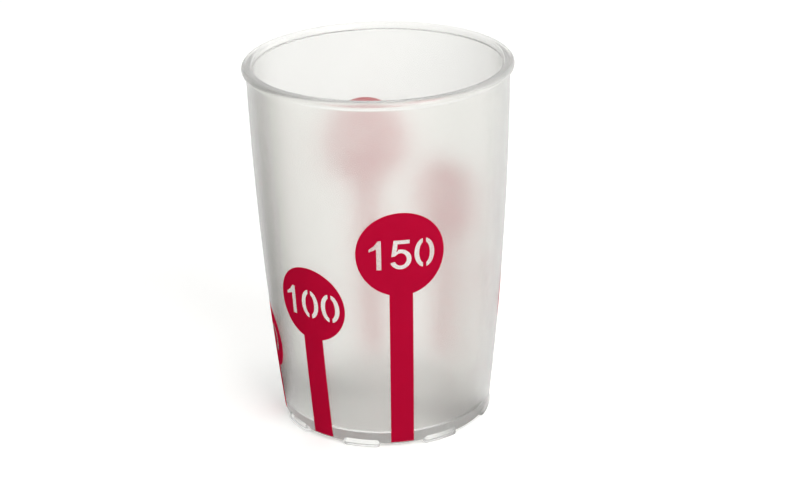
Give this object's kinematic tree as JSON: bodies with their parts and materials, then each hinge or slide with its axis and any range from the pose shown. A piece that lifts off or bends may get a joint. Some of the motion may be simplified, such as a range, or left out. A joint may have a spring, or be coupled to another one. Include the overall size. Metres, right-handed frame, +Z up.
{
  "type": "graduated tumbler",
  "caption": "Tapered drinking and measuring tumbler of frosted translucent plastic with a rim bead, castellated feet and printed disc-and-stem volume marks.",
  "frame": {"origin": "centre of the standing circle, on the surface that the feet rest on", "axes": "+Z up along the cup's axis, -Y towards the front, where the 150 ml mark is printed, +X to the viewer's right"},
  "size_m": [0.0718, 0.0718, 0.1],
  "materials": {
    "frosted_plastic": "colourless translucent plastic with a fine frosted surface",
    "red_ink": "opaque crimson printing ink, satin"
  },
  "bodies": {
    "root": {"tumbler": "frosted_plastic", "scale_mark_50": "red_ink", "scale_mark_75": "red_ink", "scale_mark_100": "red_ink", "scale_mark_125": "red_ink", "scale_mark_150": "red_ink", "scale_mark_175": "red_ink"}
  },
  "joints": []
}
